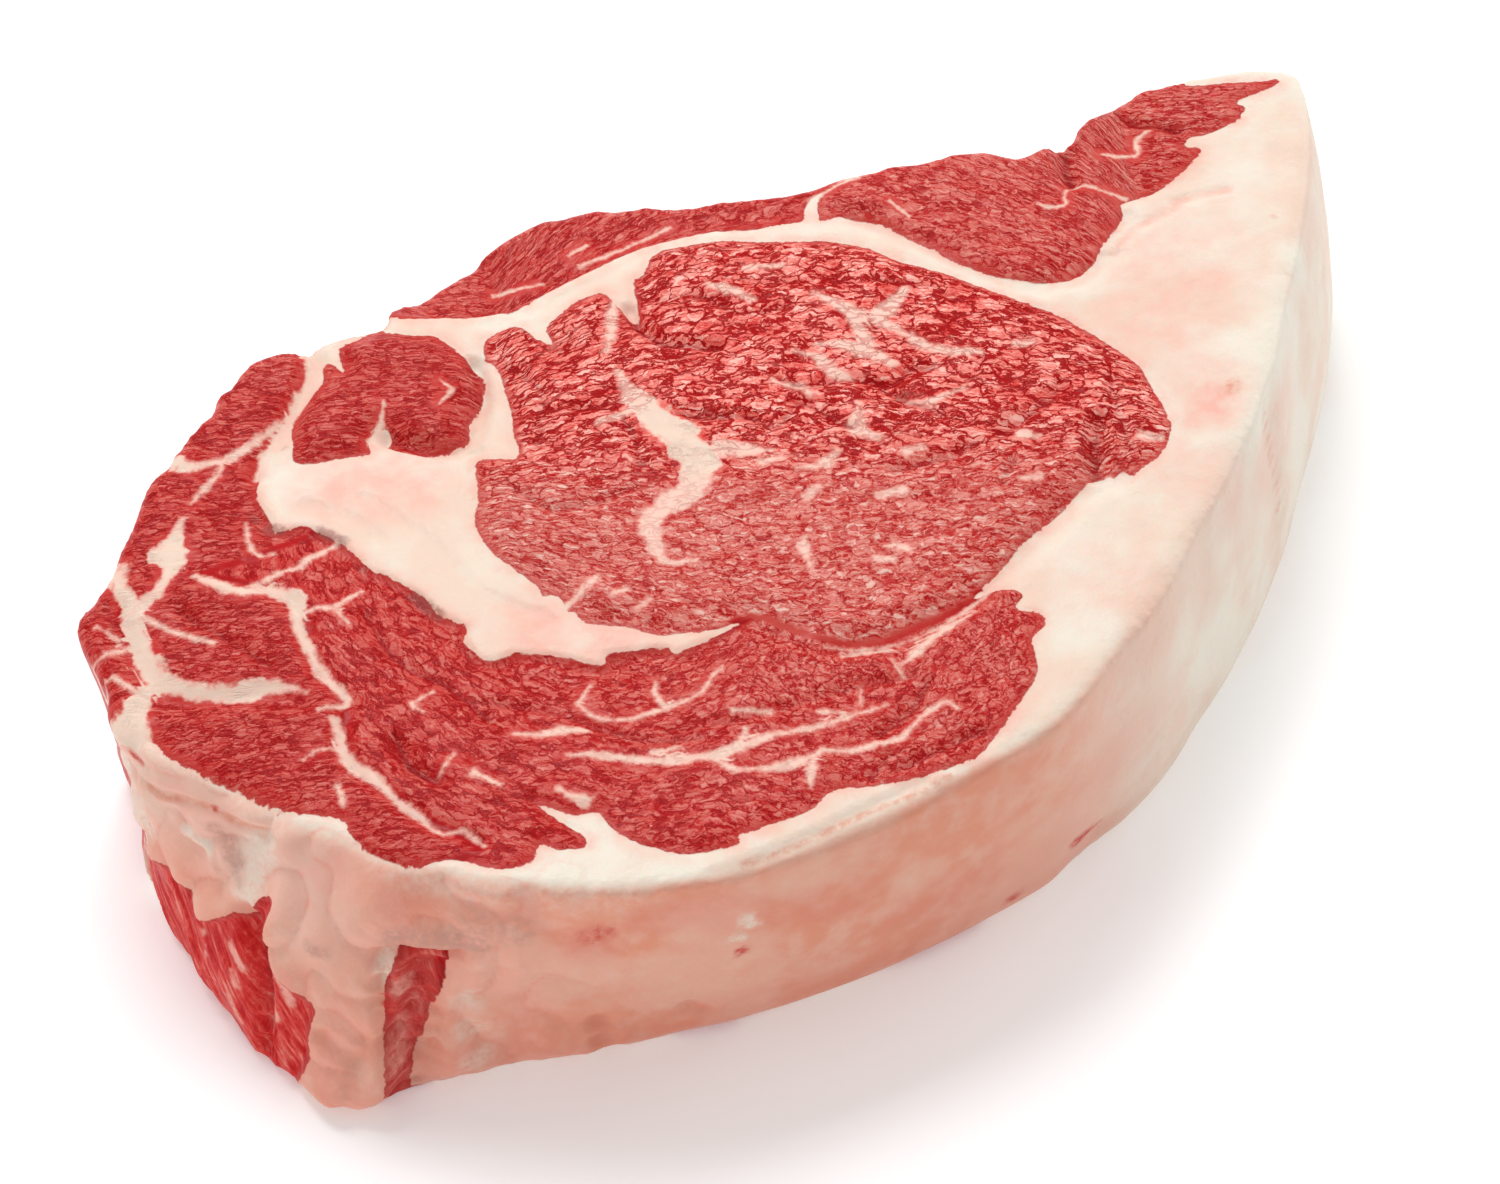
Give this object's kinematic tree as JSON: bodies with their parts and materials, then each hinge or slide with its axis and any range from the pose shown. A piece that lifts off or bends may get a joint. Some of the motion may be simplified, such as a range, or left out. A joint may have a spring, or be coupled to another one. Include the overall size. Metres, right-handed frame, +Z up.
{
  "type": "raw boneless ribeye steak",
  "caption": "Thick raw boneless ribeye steak lying on its cut face, with a round eye muscle, a wrapping cap, seams and a kernel of fat, and a thick fat edge.",
  "frame": {"origin": "under the middle of the steak's box, on the surface it lies on", "axes": "+X along the length, towards the thin fat tail; +Y towards the rib side; +Z up through the thickness"},
  "size_m": [0.2215, 0.133, 0.0427],
  "materials": {
    "raw_beef": "wet raw beef: red lean marbled with cream and pale pink fat, glossy with meat juice"
  },
  "bodies": {
    "root": {"steak": "raw_beef"}
  },
  "joints": []
}
